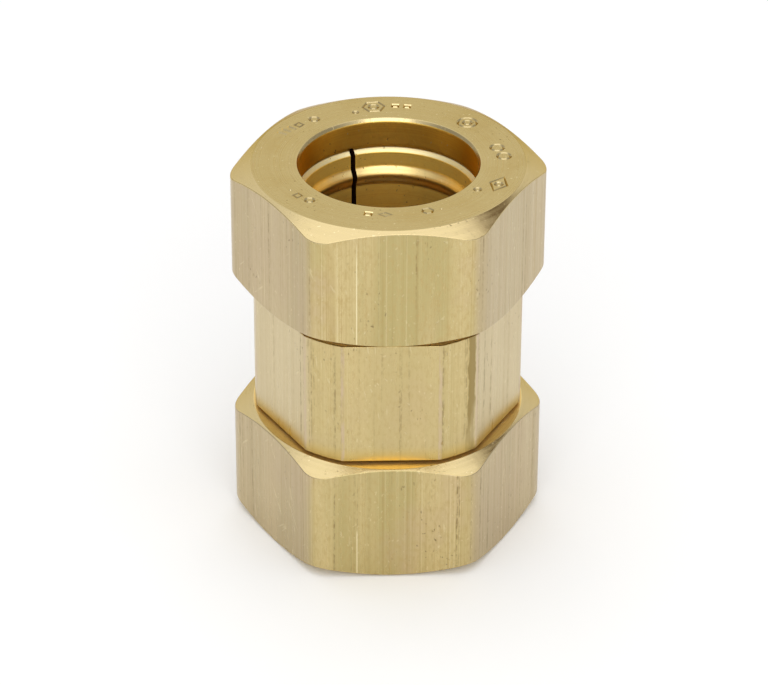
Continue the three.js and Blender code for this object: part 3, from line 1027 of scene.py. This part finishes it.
def make_gasket(side, material):
    """A rubber gasket, bevelled to sit in the body, with a faint parting line round it."""
    low, high = end_heights(side, f"{side}_gasket")
    bevel_top = low + (GASKET_OUTER - GASKET_FOOT) * SEAT_FALL / (COUNTERBORE - SOCKET)
    line = (bevel_top + high) / 2
    wall = GASKET_OUTER - FLASH_DEPTH
    gasket = round_piece(f"{side}_moulded_gasket", side, [
        (GASKET_INNER + GASKET_TOE, low, 0, PLAIN),
        (GASKET_FOOT, low, 0.08, PLAIN),
        (wall, bevel_top, 0.2, PLAIN),
        (wall, line - FLASH_HALF_HEIGHT, 0, PLAIN),
        (GASKET_OUTER, line, 0, PLAIN),
        (wall, line + FLASH_HALF_HEIGHT, 0, PLAIN),
        (wall, high - GASKET_LIP, 0.1, PLAIN),
        (GASKET_OUTER - GASKET_LIP, high, 0.1, PLAIN),
        (GASKET_INNER, high, 0.25, PLAIN),
        (GASKET_INNER, low + GASKET_TOE, 0, PLAIN),
    ], material)
    stands_for(gasket, f"{side}_gasket", "body")


# ---- Surroundings --------------------------------------------------------------------------------


FLOOR_REACH = 3.0  # from the coupling to the floor's edges, in metres
FLOOR_COLOUR = (0.99, 0.99, 0.99, 1)


def make_floor():
    """A wide pale floor at the height of the lower nut's end face."""
    made = bmesh.new()
    corners = [(-1, -1), (1, -1), (1, 1), (-1, 1)]
    made.faces.new([made.verts.new((x * FLOOR_REACH, y * FLOOR_REACH, 0)) for x, y in corners])
    mesh = bpy.data.meshes.new("floor")
    made.to_mesh(mesh)
    made.free()
    floor = bpy.data.objects.new("floor", mesh)
    bpy.context.scene.collection.objects.link(floor)
    nodes = Nodes("pale_floor")
    nodes.shader.inputs["Base Color"].default_value = FLOOR_COLOUR
    nodes.shader.inputs["Roughness"].default_value = 0.9
    nodes.shader.inputs["Specular IOR Level"].default_value = 0.1
    mesh.materials.append(nodes.material)


# How the room's brightness changes along an axis: (axis, a low and a high cosine to it, and the
# brightness at each).
ROOM_DEPTH = ((0, 1, 0), -0.2, 0.6, 0.88, 1.02)
ROOM_SIDES = ((1, 0, 0), 0.5, 0.9, 1.0, 0.45)
ROOM_COLOUR = (1.0, 1.0, 1.0, 1)
PANEL = ((0.5145, 0.4314, 0.7413), 0.966, 0.992, 0.0, 1.0)  # where the room is dark instead
PANEL_COLOUR = (0.12, 0.06, 0.0, 1)


def make_world():
    """A soft room: brighter behind the coupling, darker at both sides, with one dark panel."""
    world = bpy.data.worlds.new("soft_room")
    bpy.context.scene.world = world
    world.use_nodes = True
    tree = world.node_tree
    direction = tree.nodes.new("ShaderNodeTexCoord").outputs["Generated"]

    def towards(axis, low, high, at_low, at_high, both_ways=False):
        """A strength that changes smoothly with the cosine to an axis."""
        cosine = tree.nodes.new("ShaderNodeVectorMath")
        cosine.operation = "DOT_PRODUCT"
        cosine.inputs[1].default_value = Vector(axis).normalized()
        tree.links.new(direction, cosine.inputs[0])
        found = cosine.outputs["Value"]
        if both_ways:
            size = tree.nodes.new("ShaderNodeMath")
            size.operation = "ABSOLUTE"
            tree.links.new(found, size.inputs[0])
            found = size.outputs[0]
        share = tree.nodes.new("ShaderNodeMapRange")
        share.interpolation_type = "SMOOTHSTEP"
        tree.links.new(found, share.inputs["Value"])
        limits = {"From Min": low, "From Max": high, "To Min": at_low, "To Max": at_high}
        for name, value in limits.items():
            share.inputs[name].default_value = value
        return share.outputs["Result"]

    def product(first, second):
        joined = tree.nodes.new("ShaderNodeMath")
        joined.operation = "MULTIPLY"
        tree.links.new(first, joined.inputs[0])
        tree.links.new(second, joined.inputs[1])
        return joined.outputs[0]

    strength = product(towards(*ROOM_DEPTH), towards(*ROOM_SIDES, both_ways=True))
    panel = towards(*PANEL)
    colour = tree.nodes.new("ShaderNodeMix")
    colour.data_type = "RGBA"
    tree.links.new(panel, colour.inputs["Factor"])
    colour.inputs["A"].default_value = ROOM_COLOUR
    colour.inputs["B"].default_value = PANEL_COLOUR
    background = tree.nodes["Background"]
    tree.links.new(colour.outputs["Result"], background.inputs["Color"])
    tree.links.new(strength, background.inputs["Strength"])


LIGHT_TARGET = Vector((0, 0, 0.03))


def add_softbox(name, place, width, height, radiance):
    """A rectangular area light with an even radiance, aimed at the coupling."""
    light = bpy.data.lights.new(name, "AREA")
    light.shape = "RECTANGLE"
    light.size = width
    light.size_y = height
    light.energy = radiance * width * height * math.pi
    lamp = bpy.data.objects.new(name, light)
    lamp.location = place
    lamp.rotation_euler = (LIGHT_TARGET - Vector(place)).to_track_quat("-Z", "Y").to_euler()
    lamp.visible_camera = False
    bpy.context.scene.collection.objects.link(lamp)


CAMERA_TURN = math.radians(1.75)  # the camera looks this far to the right of +Y
CAMERA_ELEVATION = math.radians(31.95)
CAMERA_ROLL = math.radians(0.22)
CAMERA_DISTANCE = 0.4942
CAMERA_LENS = 174.35
CAMERA_SENSOR = 36.0
CAMERA_NEAR = 0.01
CAMERA_TARGET = Vector((-0.00051, 0.00002, 0.02509))


def make_camera():
    """The camera, looking down on the coupling from the front through a long lens."""
    level = math.cos(CAMERA_ELEVATION)
    forward = Vector((
        math.sin(CAMERA_TURN) * level,
        math.cos(CAMERA_TURN) * level,
        -math.sin(CAMERA_ELEVATION),
    ))
    level_right = Vector((math.cos(CAMERA_TURN), -math.sin(CAMERA_TURN), 0))
    level_up = level_right.cross(forward)
    right = level_right * math.cos(CAMERA_ROLL) + level_up * math.sin(CAMERA_ROLL)
    up = level_up * math.cos(CAMERA_ROLL) - level_right * math.sin(CAMERA_ROLL)
    camera = bpy.data.objects.new("camera", bpy.data.cameras.new("camera"))
    camera.data.lens = CAMERA_LENS
    camera.data.sensor_width = CAMERA_SENSOR
    camera.data.clip_start = CAMERA_NEAR
    place = CAMERA_TARGET - forward * CAMERA_DISTANCE
    axes = Matrix((right, up, -forward)).transposed().to_4x4()
    camera.matrix_world = Matrix.Translation(place) @ axes
    bpy.context.scene.collection.objects.link(camera)
    bpy.context.scene.camera = camera


# ---- Scene ---------------------------------------------------------------------------------------

bpy.context.scene.view_settings.view_transform = "Standard"

nut_bar = nut_bar_brass()
body_bar = body_bar_brass()
turned_end = turned_brass("turned_brass", BRASS_FACE, BRASS_DEEP, 4, (0.2, 0.3), sheen=0.6)
chamfered = turned_brass(
    "chamfered_brass", BRASS_CREAM, BRASS_BRIGHT, 7, (0.16, 0.24), sheen=0.5)
# The bore's left and right walls carry painted shade.
bored = turned_brass("bored_brass", BRASS_GOLD, BRASS_AMBER, 12, (0.34, 0.44), painted_side_shade=0.75)
faced = turned_brass("faced_brass", BRASS_HONEY, BRASS_RUSSET, 6, (0.34, 0.44), metallic=0.65)
mouth_face = turned_brass(
    "mouth_face_brass", BRASS_HONEY, BRASS_MOUTH, 6, (0.30, 0.40), metallic=0.92)
ring_brass = turned_brass("ring_brass", BRASS_GOLD, BRASS_AMBER, 6, (0.32, 0.42), metallic=0.62)
rib_brass = turned_brass("rib_brass", BRASS_HONEY, BRASS_BRIGHT, 6, (0.30, 0.40))
ring_bevel = turned_brass("ring_bevel_brass", BRASS_PALE, BRASS_GOLD, 12, (0.34, 0.46))
# The slit's sawn walls are painted near-black: painted shade of the narrow slit.
slit_shade_brass = turned_brass("slit_shade_brass", SLIT_SHADE_BROWN, SLIT_SHADE_BROWN, 20, (0.6, 0.7))
washer_brass = turned_brass("washer_brass", BRASS_GOLD, BRASS_AMBER, 3, (0.3, 0.42))
rubber = moulded_rubber("moulded_rubber")

make_body([body_bar, turned_end, bored, chamfered, faced])
for side in ("upper", "lower"):
    make_nut(side, [nut_bar, turned_end, bored, chamfered, faced, mouth_face])
    make_gripper_ring(side, [ring_brass, ring_bevel, slit_shade_brass, rib_brass])
    make_washer(side, washer_brass)
    make_gasket(side, rubber)

make_floor()
make_world()
add_softbox("overhead_softbox", (0.0, -0.08, 0.75), width=0.95, height=0.75, radiance=0.55)
add_softbox("front_softbox", (0.0, -0.78, 0.56), width=0.9, height=0.5, radiance=1.6)
make_camera()
